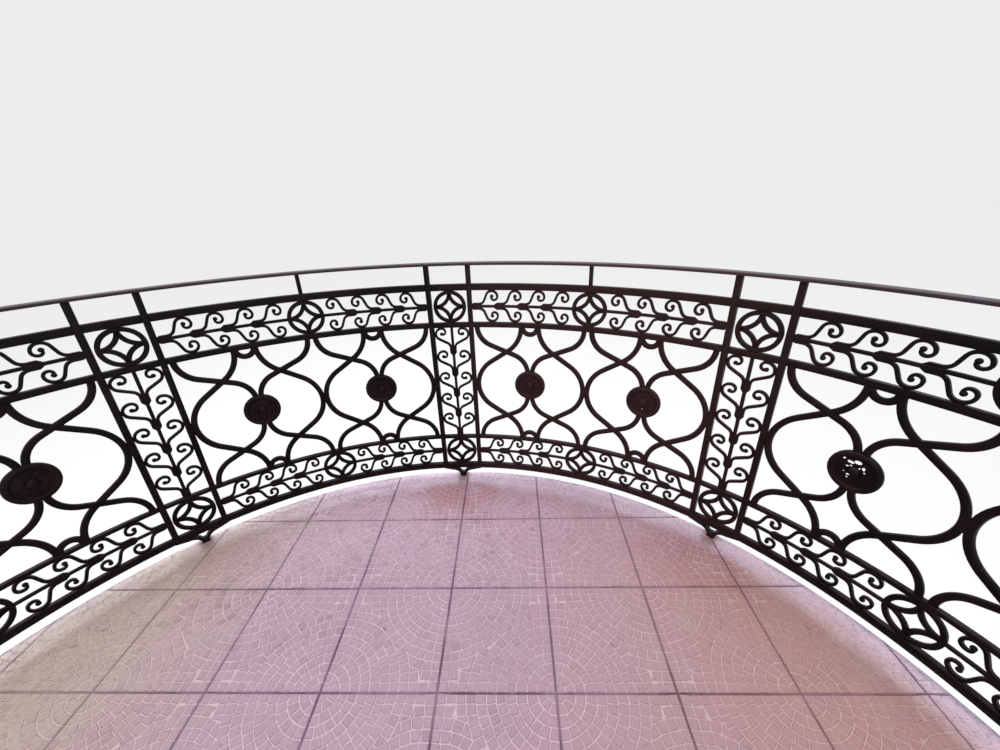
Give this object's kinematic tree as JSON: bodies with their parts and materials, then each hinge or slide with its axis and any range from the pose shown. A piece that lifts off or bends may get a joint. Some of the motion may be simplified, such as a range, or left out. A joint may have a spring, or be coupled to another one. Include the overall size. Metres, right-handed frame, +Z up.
{
  "type": "iron balcony",
  "caption": "Half-round facade balcony: a rendered slab with relief tiles and a wrought-iron railing of scroll pilasters, scroll friezes, arabesque panels and a flat handrail.",
  "frame": {"origin": "middle of the slab's back face, on the wall's plane", "axes": "+X along the wall, to the right as seen from the street; -Y out to the street, square to the wall; +Z up"},
  "size_m": [3.0762, 1.5749, 1.306],
  "materials": {
    "soffit": "cream-yellow painted plaster",
    "fascia": "grey-blue painted render",
    "tiles": "worn pink-mauve cement tiles with a fan relief, washed pale at the edge and rust-stained",
    "iron": "old black-brown paint, satin, with rust at the feet and joints",
    "handrail": "old dark paint with a greyish sheen where hands rub it",
    "medallions": "cast relief under old dark paint"
  },
  "bodies": {
    "root": {"slab": "soffit", "fascia": "fascia", "floor_tiles": "tiles", "bottom_rail": "iron", "sill_rail": "iron", "head_rail": "iron", "top_rail": "iron", "bay_studs": "iron", "post_pair_1": "iron", "post_pair_2": "iron", "post_pair_3": "iron", "post_pair_4": "iron", "post_pair_5": "iron", "pilaster_ornament_1": "iron", "pilaster_ornament_2": "iron", "pilaster_ornament_3": "iron", "pilaster_ornament_4": "iron", "pilaster_ornament_5": "iron", "foot_1": "iron", "foot_2": "iron", "foot_3": "iron", "foot_4": "iron", "foot_5": "iron", "edge_straps": "iron", "upper_frieze_1": "iron", "upper_frieze_2": "iron", "upper_frieze_3": "iron", "upper_frieze_4": "iron", "lower_frieze_1": "iron", "lower_frieze_2": "iron", "lower_frieze_3": "iron", "lower_frieze_4": "iron", "arabesque_1": "iron", "arabesque_2": "iron", "arabesque_3": "iron", "arabesque_4": "iron", "handrail": "handrail", "medallions_1": "medallions", "medallions_2": "medallions", "medallions_3": "medallions", "medallions_4": "medallions"}
  },
  "joints": []
}
